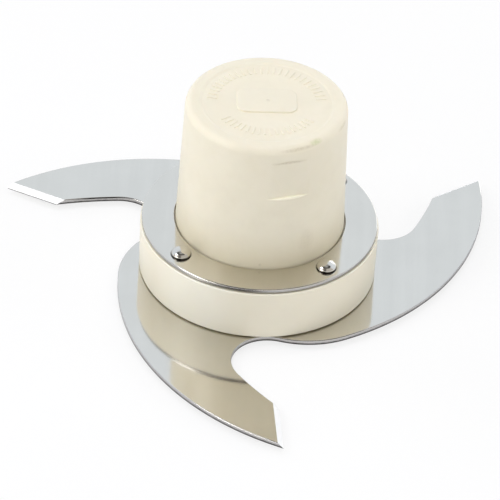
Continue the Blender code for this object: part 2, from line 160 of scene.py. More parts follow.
world = bpy.data.worlds.new("room")
world.use_nodes = True
scene.world = world
room = Tree(world.node_tree)
world.node_tree.nodes.clear()
direction = room.add("ShaderNodeTexCoord").outputs["Generated"]
axes = room.add("ShaderNodeSeparateXYZ", Vector=direction)
across, away, up = (axes.outputs[name] for name in "XYZ")
ceiling = room.window(up, ceiling_starts, 2.0, 0.10)
front = room.window(away, -2.0, 0.0, 0.2)
dark_corner = room.window(across, -0.50, 0.08, 0.12)
front_wall = room.mix(dark_corner, front_wall_grey, dark_corner_grey)
round_about = room.mix(front, wall_white, front_wall)
front_ceiling = room.window(away, -1.0, -0.08, 0.06)
overhead_wall = room.mix(front_ceiling, ceiling_grey, front_ceiling_grey)
under_ceiling = room.mix(ceiling, round_about, overhead_wall)
gap_height = room.window(up, ceiling_starts, 0.995, 0.04)
gap = room.maths("MULTIPLY", gap_height, room.window(away, -0.34, 0.30, 0.06))
seen_in_gloss = room.mix(gap, under_ceiling, ceiling_gap_grey)
path = room.add("ShaderNodeLightPath")
fill_light = room.add("ShaderNodeBackground", Color=pure_white, Strength=fill_strength)
mirror_light = room.add("ShaderNodeBackground", Color=seen_in_gloss, Strength=1.0)
backdrop = room.add("ShaderNodeBackground", Color=pure_white, Strength=1.0)
not_gloss = room.add("ShaderNodeMixShader", i0=path.outputs["Is Glossy Ray"],
                     i1=fill_light.outputs[0], i2=mirror_light.outputs[0])
clear_view = room.maths("MAXIMUM", path.outputs["Is Camera Ray"], path.outputs["Is Transmission Ray"])
seen = room.add("ShaderNodeMixShader", i0=clear_view, i1=not_gloss.outputs[0], i2=backdrop.outputs[0])
room.add("ShaderNodeOutputWorld", Surface=seen.outputs[0])

sweep_finish = bpy.data.materials.new("white_sweep")
sweep_finish.use_nodes = True
sweep_finish.node_tree.nodes.clear()
sweep_nodes = Tree(sweep_finish.node_tree)
paper = sweep_nodes.add("ShaderNodeBsdfDiffuse", Color=paper_white)
glow = sweep_nodes.add("ShaderNodeEmission", Color=pure_white, Strength=1.0)
sweep_path = sweep_nodes.add("ShaderNodeLightPath")
seen_share = sweep_nodes.maths("MULTIPLY", sweep_path.outputs["Is Camera Ray"], backdrop_glow)
sweep_mix = sweep_nodes.add("ShaderNodeMixShader", i0=seen_share, i1=paper.outputs[0], i2=glow.outputs[0])
sweep_nodes.add("ShaderNodeOutputMaterial", Surface=sweep_mix.outputs[0])

sweep_mesh = bpy.data.meshes.new("sweep")
sweep_corners = [(sweep_reach * x, sweep_reach * y, table_z)
                 for x, y in ((-1, -1), (1, -1), (1, 1), (-1, 1))]
sweep_mesh.from_pydata(sweep_corners, [], [(0, 1, 2, 3)])
sweep_mesh.materials.append(sweep_finish)
sweep = bpy.data.objects.new("sweep", sweep_mesh)
scene.collection.objects.link(sweep)


# Hub. One cream plastic moulding: a tall knob to lift the cutter by, a broad flange, and a foot
# that goes down through the blade. It is cored from below, so walls, ribs and bosses stay even
# in thickness, and a sleeve hangs inside the knob to take the hexagonal spindle.
crown_z = 0.0034
dish_z = 0.00315
ceiling_z = 0.0006
ring_top_z = -0.0363
flange_top_z = -0.0378
channel_top_z = -0.0404
flange_bottom_z = -0.0528
blade_top_z = -0.0531
blade_bottom_z = -0.0546
foot_z = -0.0564
sleeve_mouth_z = -0.0260
knob_radius = 0.0236
flange_radius = 0.0334
spigot_radius = 0.0231
bore_top_radius = 0.0200
sleeve_radius = 0.0092
socket_across_flats = 0.0110
socket_lead_in = 0.0008
side_flat_distance = 0.0221
side_flat_levels = (-0.0129, -0.0015)
side_flat_sill_slope = 5.0
flat_sill_middle = -0.0130
side_flat_head_slope = 66.0
side_flat_bearing = -70.8
dish_radii = (0.0179, 0.0186)
tick_size = (0.0030, 0.00060, 0.00019)
tick_arcs = ((0.0152, 12.0, 26), (0.0137, -143.0, 18))
tick_spacing = 6.6
gate_mark = (0.0002, 0.0007)
pad_size = (0.0166, 0.0116)
pad_corner = 0.0028
pad_rise = 0.00026
pad_tilt = -2.4
pad_centre_y = 0.0010
pad_turn = 3.5
rivet_pitch_radius = 0.0285
rivet_hole_radius = 0.0018
first_rivet_bearing = 42.3
round_steps = 192
boss_steps = 40
hole_steps = 48
gate_steps = 24
pad_corner_steps = 12
tick_corner_steps = 3
knob_top_radius = 0.0224
crown_fillet = 0.0022
dish_fillet = 0.0008
flange_draft = 0.0002
flange_edge = 0.0004
skirt_top_radius = 0.0308
skirt_mouth_radius = 0.0310
skirt_mouth_edge = 0.0002
channel_inner_radius = 0.0238
channel_fillet = 0.0006
foot_bore_radius = 0.0209
foot_edge = 0.0003
bore_fillet = 0.0008
sleeve_mouth_radius = 0.0090
sleeve_mouth_edge = 0.0003
sleeve_rib_count = 8
sleeve_rib_reach = (0.0082, 0.0210)
sleeve_rib_thickness = 0.0018
sleeve_rib_setback = 0.0040
channel_rib_count = 12
channel_rib_reach = (0.0226, 0.0320)
channel_rib_thickness = 0.0016
channel_rib_setback = 0.0006
rivet_count = 4
boss_wall = 0.0016
boss_setback = 0.0001
overlap = 0.0010
side_flat_cutter = 0.03
pad_edge = 0.0003
gate_radius = 0.0006
gate_height = 0.00012
gate_edge = 0.0001
tick_corner = 0.0002
tick_edge = 0.00008
tick_root = 0.0005
merge_distance = 1e-7
weld_distance = 1e-6
level_face = 0.9999
darker_cream = (0.850, 0.788, 0.632)
lighter_cream = (0.885, 0.826, 0.672)
handled_cream = (0.80, 0.74, 0.585, 1.0)
# Painted light: the lighter cream that the flange is drawn in.
flange_light_cream = (0.925, 0.872, 0.728, 1.0)
# Painted shade: the darker, yellower cream in the corner above the ring.
shade_above_ring_cream = (0.82, 0.735, 0.53, 1.0)
# Painted highlight: the near-white cream of the side flat's sill.
sill_highlight_cream = (1.0, 0.95, 0.775, 1.0)
# Painted light: the pale cream of a patch on the flange at the front left.
front_flange_light_cream = (1.0, 0.955, 0.825, 1.0)


def rounded_section(corners, turn=6.0):
    """Points of a section through corners of (radius, z, fillet), each corner turned in small steps."""
    points = []
    for k, (radius, z, fillet) in enumerate(corners):
        corner = Vector((radius, z))
        if not fillet:
            points.append(corner)
            continue
        before = (Vector(corners[k - 1][:2]) - corner).normalized()
        after = (Vector(corners[(k + 1) % len(corners)][:2]) - corner).normalized()
        half_angle = before.angle(after) / 2
        centre = corner + (before + after).normalized() * (fillet / math.sin(half_angle))
        start = corner + before * (fillet / math.tan(half_angle)) - centre
        end = corner + after * (fillet / math.tan(half_angle)) - centre
        sweep_angle = start.angle_signed(end)
        steps = max(2, math.ceil(abs(math.degrees(sweep_angle)) / turn))
        for n in range(steps + 1):
            points.append(centre + Matrix.Rotation(-sweep_angle * n / steps, 2) @ start)
    return points


def turned(section, steps):
    """A bmesh of a section spun round the Z axis: closed, or open where it starts on the axis."""
    bm = bmesh.new()
    verts = [bm.verts.new((point.x, 0.0, point.y)) for point in section]
    pairs = list(zip(verts, verts[1:]))
    if section[0].x > 0.0:
        pairs.append((verts[-1], verts[0]))
    edges = [bm.edges.new(pair) for pair in pairs]
    bmesh.ops.spin(bm, geom=verts + edges, cent=(0, 0, 0), axis=(0, 0, 1), angle=math.tau,
                   steps=steps, use_merge=True)
    return bm


def prism(bm, outline, low, high):
    """Adds a flat outline of (x, y) points raised from one level to another."""
    base = [bm.verts.new((x, y, low)) for x, y in outline]
    raised = bmesh.ops.extrude_face_region(bm, geom=[bm.faces.new(base)])
    moved = [item for item in raised["geom"] if isinstance(item, bmesh.types.BMVert)]
    bmesh.ops.translate(bm, verts=moved, vec=(0, 0, high - low))
    return moved


def ring_of(centre, radius, count, start=0.0):
    turns = [math.radians(start) + math.tau * k / count for k in range(count)]
    return [(centre[0] + radius * math.cos(t), centre[1] + radius * math.sin(t)) for t in turns]


def as_object(name, bm, finish=None):
    """Merges, turns the faces outwards and makes a linked object at the origin."""
    bmesh.ops.remove_doubles(bm, verts=bm.verts, dist=merge_distance)
    bmesh.ops.recalc_face_normals(bm, faces=bm.faces)
    mesh = bpy.data.meshes.new(name)
    bm.to_mesh(mesh)
    bm.free()
    if finish:
        mesh.materials.append(finish)
    made = bpy.data.objects.new(name, mesh)
    scene.collection.objects.link(made)
    return made


def settled(obj, sharp_angle):
    """Replaces the object's mesh by its evaluated one, without modifiers, welds it and shades it."""
    graph = bpy.context.evaluated_depsgraph_get()
    mesh = bpy.data.meshes.new_from_object(obj.evaluated_get(graph))
    obj.modifiers.clear()
    obj.data = mesh
    mesh.name = obj.name
    welded = bmesh.new()
    welded.from_mesh(mesh)
    bmesh.ops.remove_doubles(welded, verts=welded.verts, dist=weld_distance)
    welded.to_mesh(mesh)
    welded.free()
    mesh.shade_smooth()
    mesh.set_sharp_from_angle(angle=math.radians(sharp_angle))
    for polygon in mesh.polygons:
        if abs(polygon.normal.z) > level_face:
            polygon.use_smooth = False
    return obj


def joined(target, tool, operation):
    """Adds a boolean step to the target, which settled() carries out."""
    step = target.modifiers.new(tool.name, "BOOLEAN")
    step.operation = operation
    step.solver = "EXACT"
    step.object = tool


def copies_round_axis():
    """A Geometry Nodes tree that repeats one piece round the Z axis."""
    tree = bpy.data.node_groups.new("copies_round_axis", "GeometryNodeTree")
    face = tree.interface
    face.new_socket("Piece", in_out="INPUT", socket_type="NodeSocketGeometry")
    face.new_socket("Copies", in_out="INPUT", socket_type="NodeSocketInt")
    face.new_socket("First bearing", in_out="INPUT", socket_type="NodeSocketFloat")
    face.new_socket("Spacing", in_out="INPUT", socket_type="NodeSocketFloat")
    face.new_socket("Finish", in_out="INPUT", socket_type="NodeSocketMaterial")
    face.new_socket("Copied", in_out="OUTPUT", socket_type="NodeSocketGeometry")
    nodes = Tree(tree)
    given = nodes.add("NodeGroupInput")
    points = nodes.add("GeometryNodePoints", Count=given.outputs["Copies"], Position=(0, 0, 0))
    number = nodes.add("GeometryNodeInputIndex")
    bearing = nodes.maths("MULTIPLY_ADD", number.outputs[0], given.outputs["Spacing"],
                          given.outputs["First bearing"])
    in_radians = nodes.maths("RADIANS", bearing)
    rotation = nodes.add("ShaderNodeCombineXYZ", Z=in_radians)
    placed = nodes.add("GeometryNodeInstanceOnPoints", Points=points.outputs[0],
                       Instance=given.outputs["Piece"], Rotation=rotation.outputs[0])
    real = nodes.add("GeometryNodeRealizeInstances", Geometry=placed.outputs[0])
    finished = nodes.add("GeometryNodeSetMaterial", Geometry=real.outputs[0],
                         Material=given.outputs["Finish"])
    nodes.add("NodeGroupOutput", Copied=finished.outputs[0])
    return tree


round_axis = copies_round_axis()


def repeated(obj, copies, first, spacing, finish, sharp_angle=30):
    """Repeats the object's mesh round the Z axis, from the first bearing on, as one plain mesh."""
    step = obj.modifiers.new("copies", "NODES")
    step.node_group = round_axis
    values = {"Copies": copies, "First bearing": first, "Spacing": spacing, "Finish": finish}
    for item in round_axis.interface.items_tree:
        if item.in_out == "INPUT" and item.name in values:
            step[item.identifier] = values[item.name]
    return settled(obj, sharp_angle)


def stain(nodes, place, bearing, radius, level, size):
    """A soft spot on a wall of the hub: 1 in its middle and 0 outside. Size is outwards, along, up."""
    middle = Matrix.Rotation(math.radians(bearing), 3, "Z") @ Vector((radius, 0.0, level))
    local = nodes.add("ShaderNodeMapping", {"vector_type": "TEXTURE"}, Vector=place, Location=middle,
                      Rotation=(0.0, 0.0, math.radians(bearing)), Scale=size)
    reach = nodes.add("ShaderNodeVectorMath", {"operation": "LENGTH"}, i0=local.outputs[0])
    return nodes.maths("MULTIPLY_ADD", reach.outputs["Value"], -1.6, 1.6, clamp=True)


def cream_plastic():
    """Satin moulded plastic: faint clouding, a fine moulded skin, slight waves, marks of use, and painted
    light and shade: a lighter flange, shade near the ring and under the side flat's head, and a highlight
    on its sill.
    """
    finish = bpy.data.materials.new("cream_plastic")
    finish.use_nodes = True
    nodes = Tree(finish.node_tree)
    shader = finish.node_tree.nodes["Principled BSDF"]
    place = nodes.add("ShaderNodeTexCoord").outputs["Object"]
    clouds = nodes.add("ShaderNodeTexNoise", Vector=place, Scale=55.0, Detail=3.0, Roughness=0.5)
    blotches = nodes.add("ShaderNodeTexNoise", Vector=place, Scale=190.0, Detail=3.0, Roughness=0.6)
    ragged = nodes.add("ShaderNodeTexNoise", Vector=place, Scale=1500.0, Detail=3.0, Roughness=0.65)
    colour = nodes.ramp(clouds.outputs[0], [(0.30, darker_cream), (0.70, lighter_cream)])
    handled = nodes.ramp(blotches.outputs[0], [(0.44, (0.0, 0.0, 0.0)), (0.72, (0.30, 0.30, 0.30))])
    colour = nodes.mix(handled, colour, handled_cream)
    level = nodes.add("ShaderNodeSeparateXYZ", Vector=place).outputs["Z"]
    # Painted light: below the ring the hub is drawn in a lighter cream, so the flange looks better lit.
    flange_light = nodes.maths("MULTIPLY", nodes.window(level, -0.06, ring_top_z, 0.0005), 0.55)
    colour = nodes.mix(flange_light, colour, flange_light_cream)
    # Painted shade: the knob is drawn darker and yellower towards the ring, in the corner where it meets
    # it.
    near_ring = nodes.maths("MULTIPLY_ADD", level, -1 / 0.012, (ring_top_z + 0.012) / 0.012, clamp=True)
    above_ring = nodes.window(level, ring_top_z - 0.001, 0.01, 0.0004)
    shade_above_ring = nodes.maths("MULTIPLY", nodes.maths("MULTIPLY", near_ring, above_ring), 0.6)
    colour = nodes.mix(shade_above_ring, colour, shade_above_ring_cream)
    broken = nodes.maths("MULTIPLY_ADD", ragged.outputs[0], 1.6, -0.10, clamp=True)
    # A darker band along the lower part of the crown's rounded edge.
    dark_rim_band = (-64.0, 0.0217, 0.0025, (0.0012, 0.0062, 0.0006))
    green_mark = (-49.5, 0.0212, 0.0026, (0.0012, 0.0027, 0.0009))
    rubbed_rim_right = (-19.0, 0.0220, 0.0020, (0.0012, 0.0036, 0.0006))
    # Painted shadow: a dark line under the side flat's overhanging head.
    shade_under_flat_head = (side_flat_bearing, 0.0223, -0.0013, (0.0012, 0.0060, 0.0007))
    smudge = (-56.0, 0.0235, -0.0290, (0.0020, 0.0030, 0.0050))
    speck_at_ring = (-88.0, 0.0236, -0.0350, (0.0010, 0.0005, 0.0006))
    gate_spot = (74.0, 0.00073, dish_z + pad_rise, (0.0007, 0.0007, 0.0006))
    for tint, strength, spot in (((0.46, 0.39, 0.26, 1.0), 0.50, dark_rim_band),
                                 ((0.50, 0.56, 0.23, 1.0), 0.75, green_mark),
                                 ((0.40, 0.34, 0.23, 1.0), 0.30, rubbed_rim_right),
                                 ((0.62, 0.55, 0.40, 1.0), 0.75, shade_under_flat_head),
                                 ((0.70, 0.63, 0.47, 1.0), 0.40, smudge),
                                 ((0.42, 0.36, 0.26, 1.0), 0.30, speck_at_ring),
                                 ((0.50, 0.43, 0.32, 1.0), 0.40, gate_spot)):
        covered = stain(nodes, place, *spot)
        share = nodes.maths("MULTIPLY", covered, nodes.maths("MULTIPLY", broken, strength))
        colour = nodes.mix(share, colour, tint)
    # Painted highlight: the sill under the side flat is drawn lighter, as if lit from above.
    sill_size = (0.0022, 0.0072, 0.00045)
    sill_highlight = stain(nodes, place, side_flat_bearing, 0.0230, flat_sill_middle, sill_size)
    sill_highlight = nodes.maths("MULTIPLY", sill_highlight, 1.8, clamp=True)
    colour = nodes.mix(sill_highlight, colour, sill_highlight_cream)
    # Painted light: a broad patch of the flange at the front left is drawn lighter.
    front_flange_light = stain(nodes, place, -121.0, flange_radius, -0.0455, (0.0100, 0.0170, 0.0180))
    front_flange_light = nodes.maths("MULTIPLY", front_flange_light, 0.8)
    colour = nodes.mix(front_flange_light, colour, front_flange_light_cream)
    skin = nodes.add("ShaderNodeTexNoise", Vector=place, Scale=2600.0, Detail=2.0, Roughness=0.6)
    wave = nodes.add("ShaderNodeTexNoise", Vector=place, Scale=160.0, Detail=1.0, Roughness=0.4)
    relief = nodes.maths("MULTIPLY_ADD", wave.outputs[0], 3.0, skin.outputs[0])
    bump = nodes.add("ShaderNodeBump", Height=relief, Strength=0.10, Distance=0.00003)
    gloss = nodes.maths("MULTIPLY_ADD", clouds.outputs[0], 0.12, 0.34)
    nodes.put(shader, "Base_Color", colour)
    nodes.put(shader, "Roughness", gloss)
    nodes.put(shader, "Normal", bump.outputs[0])
    shader.inputs["IOR"].default_value = 1.49
    shader.inputs["Subsurface Weight"].default_value = 0.12
    shader.inputs["Subsurface Radius"].default_value = (1.0, 0.75, 0.45)
    shader.inputs["Subsurface Scale"].default_value = 0.002
    return finish


cream = cream_plastic()
hub_section = rounded_section([
    (0.0, dish_z, 0), (dish_radii[0], dish_z, dish_fillet), (dish_radii[1], crown_z, dish_fillet),
    (knob_top_radius, crown_z, crown_fillet), (knob_radius, ring_top_z, 0),
    (knob_radius, flange_top_z, 0), (flange_radius, flange_top_z, flange_edge),
    (flange_radius - flange_draft, flange_bottom_z, flange_edge),
    (skirt_mouth_radius, flange_bottom_z, skirt_mouth_edge),
    (skirt_top_radius, channel_top_z, channel_fillet),
    (channel_inner_radius, channel_top_z, channel_fillet), (knob_radius, flange_bottom_z, 0),
    (spigot_radius, flange_bottom_z, 0), (spigot_radius, foot_z, foot_edge),
    (foot_bore_radius, foot_z, foot_edge), (bore_top_radius, ceiling_z, bore_fillet),
    (sleeve_radius, ceiling_z, bore_fillet), (sleeve_mouth_radius, sleeve_mouth_z, sleeve_mouth_edge),
    (0.0, sleeve_mouth_z, 0)])
hub = as_object("grinder_hub", turned(hub_section, round_steps), cream)


def straight_rib(reach, thickness, low, high):
    """A rib that runs outwards along the X axis."""
    bm = bmesh.new()
    inner, outer = reach
    side = thickness / 2
    prism(bm, [(inner, -side), (outer, -side), (outer, side), (inner, side)], low, high)
    return bm


sleeve_rib = straight_rib(sleeve_rib_reach, sleeve_rib_thickness, sleeve_mouth_z + sleeve_rib_setback,
                          ceiling_z + overlap)
sleeve_ribs = repeated(as_object("sleeve_ribs", sleeve_rib), sleeve_rib_count, 0.0,
                       360 / sleeve_rib_count, cream)

channel_rib = straight_rib(channel_rib_reach, channel_rib_thickness,
                           flange_bottom_z + channel_rib_setback, channel_top_z + overlap)
channel_ribs = repeated(as_object("channel_ribs", channel_rib), channel_rib_count, first_rivet_bearing,
                        360 / channel_rib_count, cream)

rivet_boss = bmesh.new()
prism(rivet_boss, ring_of((rivet_pitch_radius, 0.0), rivet_hole_radius + boss_wall, boss_steps),
      flange_bottom_z + boss_setback, channel_top_z + overlap)
rivet_bosses = repeated(as_object("rivet_bosses", rivet_boss), rivet_count, first_rivet_bearing,
                        360 / rivet_count, cream)

rivet_hole = bmesh.new()
prism(rivet_hole, ring_of((rivet_pitch_radius, 0.0), rivet_hole_radius, hole_steps),
      blade_bottom_z - overlap, ring_top_z + overlap)
rivet_holes = repeated(as_object("rivet_holes", rivet_hole), rivet_count, first_rivet_bearing,
                       360 / rivet_count, cream)

hexagon_corner = 0.5 / math.cos(math.pi / 6)
socket = bmesh.new()
wide = socket_across_flats + 2 * (socket_lead_in + overlap)
levels = [(wide, sleeve_mouth_z - overlap), (socket_across_flats, sleeve_mouth_z + socket_lead_in),
          (socket_across_flats, 0.0)]
loops = [[socket.verts.new((x, y, z)) for x, y in ring_of((0, 0), width * hexagon_corner, 6)]
         for width, z in levels]
for lower, upper in zip(loops, loops[1:]):
    for k in range(6):
        socket.faces.new((lower[k], lower[(k + 1) % 6], upper[(k + 1) % 6], upper[k]))
socket.faces.new(loops[0])
socket.faces.new(loops[-1])
socket_tool = as_object("socket_tool", socket)

side_flat = bmesh.new()
flat_low, flat_high = side_flat_levels
outward = side_flat_cutter - side_flat_distance
sill = flat_low - outward * math.tan(math.radians(side_flat_sill_slope))
head = flat_high + outward * math.tan(math.radians(side_flat_head_slope))
prism(side_flat, [(side_flat_distance, flat_low), (side_flat_cutter, sill), (side_flat_cutter, head),
                  (side_flat_distance, flat_high)], -side_flat_cutter, side_flat_cutter)
upright = Matrix.Rotation(math.radians(90), 4, "X")
side_flat.transform(Matrix.Rotation(math.radians(side_flat_bearing), 4, "Z") @ upright)
side_flat_tool = as_object("side_flat_tool", side_flat)


def rounded_rectangle(length, width, corner, per_corner):
    points = []
    for sx, sy, first in ((1, 1, 0), (-1, 1, 90), (-1, -1, 180), (1, -1, 270)):
        for n in range(per_corner + 1):
            angle = math.radians(first + 90 * n / per_corner)
            points.append((sx * (length / 2 - corner) + corner * math.cos(angle),
                           sy * (width / 2 - corner) + corner * math.sin(angle)))
    return points


def raised_pad(outline, low, high, edge, segments):
    """A low pad whose upper edge is rounded."""
    bm = bmesh.new()
    top = set(prism(bm, outline, low, high))
    rim = [line for line in bm.edges if all(vert in top for vert in line.verts)]
    bmesh.ops.bevel(bm, geom=rim, offset=edge, offset_type="OFFSET", segments=segments, profile=0.5,
                    affect="EDGES", clamp_overlap=True)
    return bm


pad_outline = rounded_rectangle(*pad_size, pad_corner, pad_corner_steps)
pad = raised_pad(pad_outline, dish_z - overlap, dish_z + pad_rise, pad_edge, 4)
tilted = Matrix.Translation((0, pad_centre_y, dish_z)) @ Matrix.Rotation(math.radians(pad_tilt), 4, "X")
at_dish = Matrix.Translation((0, 0, -dish_z))
pad.transform(Matrix.Rotation(math.radians(pad_turn), 4, "Z") @ tilted @ at_dish)
crown_pad = as_object("crown_pad", pad)

gate_top = dish_z + pad_rise + gate_height
gate = raised_pad(ring_of(gate_mark, gate_radius, gate_steps), dish_z, gate_top, gate_edge, 2)
gate_stub = as_object("gate_stub", gate)

tick_length, tick_width, tick_rise = tick_size
tick_outline = rounded_rectangle(tick_length, tick_width, tick_corner, tick_corner_steps)
tick_rows = []
for row, (pitch_radius, first_bearing, count) in enumerate(tick_arcs):
    tick = raised_pad(tick_outline, dish_z - tick_root, dish_z + tick_rise, tick_edge, 2)
    tick.transform(Matrix.Translation((pitch_radius, 0, 0)))
    one_tick = as_object(f"crown_ticks_{row}", tick)
    tick_rows.append(repeated(one_tick, count, first_bearing, tick_spacing, cream))

for tool in (sleeve_ribs, channel_ribs, rivet_bosses, crown_pad, gate_stub, *tick_rows):
    joined(hub, tool, "UNION")
for tool in (socket_tool, side_flat_tool, rivet_holes):
    joined(hub, tool, "DIFFERENCE")
settled(hub, sharp_angle=12)
for tool in (sleeve_ribs, channel_ribs, rivet_bosses, crown_pad, gate_stub, *tick_rows, socket_tool,
             side_flat_tool):
    bpy.data.objects.remove(tool, do_unlink=True)
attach(hub, "root")
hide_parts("hub")


# Ring. A flat washer turned from polished stainless steel, with rounded rims. It drops over the
# knob on to the flange, spreads the pull of the rivet heads and hides the moulding's upper face.
ring_bottom_z = -0.0375
ring_radius = 0.0330
ring_bore_radius = 0.0240
ring_rim = 0.00035
ring_bore_edge = 0.00012
rim_starts = 0.35


def bright_steel(name, colour, roughness, grain, scuffs):
    """Polished stainless steel: faint bands and fine grain from rolling, and scuffs in the polish."""
    finish = bpy.data.materials.new(name)
    finish.use_nodes = True
    nodes = Tree(finish.node_tree)
    shader = finish.node_tree.nodes["Principled BSDF"]
    place = nodes.add("ShaderNodeTexCoord").outputs["Object"]
    along = nodes.add("ShaderNodeMapping", Vector=place, Scale=(grain * 24, grain, grain))
    lines = nodes.add("ShaderNodeTexNoise", Vector=along.outputs[0], Scale=1.0, Detail=4.0, Roughness=0.6)
    blotches = nodes.add("ShaderNodeTexNoise", Vector=place, Scale=70.0, Detail=3.0, Roughness=0.55)
    rolled = nodes.add("ShaderNodeMapping", Vector=place, Scale=(240.0, 9.0, 9.0))
    bands = nodes.add("ShaderNodeTexNoise", Vector=rolled.outputs[0], Scale=1.0, Detail=3.0,
                      Roughness=0.55)
    cloudy = nodes.maths("MULTIPLY_ADD", nodes.maths("ADD", blotches.outputs[0], bands.outputs[0]), 0.5)
    dark = tuple(value * 0.972 for value in colour)
    bright = tuple(value * 1.012 for value in colour)
    shade = nodes.ramp(cloudy, [(0.40, dark), (0.60, bright)])
    uneven = nodes.maths("MULTIPLY_ADD", lines.outputs[0], scuffs, roughness)
    bump = nodes.add("ShaderNodeBump", Height=lines.outputs[0], Strength=0.05, Distance=0.000004)
    nodes.put(shader, "Base_Color", shade)
    nodes.put(shader, "Roughness", uneven)
    nodes.put(shader, "Normal", bump.outputs[0])
    shader.inputs["Metallic"].default_value = 1.0
    return finish


def punched_edge(name, low, high, broken_and_shaded_band):
    """The cut edge of a punched sheet: a smooth sheared band above and a dull broken band below, with
    painted shade that darkens it towards the bottom.
    """
    finish = bright_steel(name, (0.66, 0.64, 0.62), roughness=0.16, grain=300.0, scuffs=0.16)
    nodes = Tree(finish.node_tree)
    place = nodes.add("ShaderNodeTexCoord").outputs["Object"]
    level = nodes.add("ShaderNodeSeparateXYZ", Vector=place).outputs["Z"]
    ragged = nodes.add("ShaderNodeTexNoise", Vector=place, Scale=900.0, Detail=3.0, Roughness=0.6)
    height = nodes.maths("MULTIPLY_ADD", level, 1 / (high - low), -low / (high - low))
    uneven = nodes.maths("MULTIPLY_ADD", ragged.outputs[0], 0.24, height)
    # Painted shade: the ramp darkens the edge towards its lower corner, beyond the dull broken band.
    shade = nodes.ramp(uneven, [(0.14, broken_and_shaded_band), (0.42, tuple(value * 1.8 for value in broken_and_shaded_band)),
                                (0.60, (0.40, 0.39, 0.38)), (0.90, (0.56, 0.545, 0.53))])
    nodes.put(finish.node_tree.nodes["Principled BSDF"], "Base_Color", shade)
    return finish


def shade_round_rivets(finish):
    """Painted shadow: a thin dark line on the ring round the foot of each rivet head."""
    nodes = Tree(finish.node_tree)
    shader = finish.node_tree.nodes["Principled BSDF"]
    place = nodes.add("ShaderNodeTexCoord").outputs["Object"]
    turn = -math.radians(first_rivet_bearing)
    square = nodes.add("ShaderNodeMapping", Vector=place, Rotation=(0, 0, turn))
    sides = nodes.add("ShaderNodeSeparateXYZ", Vector=square.outputs[0])
    one, other = (nodes.maths("ABSOLUTE", sides.outputs[name]) for name in "XY")
    along = nodes.maths("SUBTRACT", nodes.maths("MAXIMUM", one, other), rivet_pitch_radius)
    offset = nodes.add("ShaderNodeCombineXYZ", X=along, Y=nodes.maths("MINIMUM", one, other))
    distance = nodes.add("ShaderNodeVectorMath", {"operation": "LENGTH"}, i0=offset.outputs[0])
    # Painted shadow round the foot of each head.
    rivet_shade = nodes.window(distance.outputs["Value"], 0.0010, 0.0031, 0.0004)
    clean = shader.inputs["Base Color"].links[0].from_socket
    nodes.put(shader, "Base_Color", nodes.mix(rivet_shade, clean, (0.09, 0.08, 0.065, 1.0)))


ring_steel = bright_steel("ring_steel", (0.675, 0.647, 0.580), roughness=0.080, grain=90.0, scuffs=0.06)
shade_round_rivets(ring_steel)
ring_edge = punched_edge("ring_edge_steel", ring_bottom_z, ring_top_z, (0.26, 0.25, 0.235))
ring_section = rounded_section([
    (ring_bore_radius, ring_top_z, ring_bore_edge), (ring_radius, ring_top_z, ring_rim),
    (ring_radius, ring_bottom_z, ring_rim), (ring_bore_radius, ring_bottom_z, ring_bore_edge)], turn=9.0)
ring = as_object("top_ring_turned", turned(ring_section, round_steps), ring_steel)
joined(ring, rivet_holes, "DIFFERENCE")
settled(ring, sharp_angle=30)
ring.data.materials.append(ring_edge)
for polygon in ring.data.polygons:
    polygon.material_index = 0 if polygon.normal.z > rim_starts else 1
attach(ring, "root")
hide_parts("top_ring")


# Blade. One stainless sheet stamped to three swept arms with a round gullet between them. Its
# corners are tumbled soft, and the front of each arm's tip is ground to a bevel from above.
arm_count = 3
first_arm_bearing = 36.3
tip_radius = 0.0780
tip_angle = 61.9
heel_radius = 0.0610
gullet_radius = 0.0106
gullet_pitch_radius = 0.0431
gullet_lag = 119.4
root_radius = 0.0248
root_turn = 159.7
leading_radius = 0.1050
grind_width = 0.0016
edge_land = 0.0002
sheet_edge = 0.00025
blade_bore_radius = 0.0234
longest_rounded_step = 0.008
wedge_margin = 0.0106
wedge_height = 0.004
ground_beyond_radius = 0.05
edge_starts = 0.75
slope_tolerance = 0.01


def polar(radius, bearing):
    angle = math.radians(bearing)
    return Vector((radius * math.cos(angle), radius * math.sin(angle)))


def turned_by(point, bearing):
    return Matrix.Rotation(math.radians(bearing), 2) @ point


def arc(centre, start, end, way, flatness=0.00001):
    """Points from start to end round a centre, counter-clockwise (+1) or clockwise (-1)."""
    radius = (start - centre).length
    first = math.atan2(start.y - centre.y, start.x - centre.x)
    last = math.atan2(end.y - centre.y, end.x - centre.x)
    sweep_angle = way * ((way * (last - first)) % math.tau)
    count = max(2, math.ceil(abs(sweep_angle) / (2 * math.acos(1 - flatness / radius))))
    turns = [first + sweep_angle * k / count for k in range(count + 1)]
    return [centre + Vector((math.cos(t), math.sin(t))) * radius for t in turns]


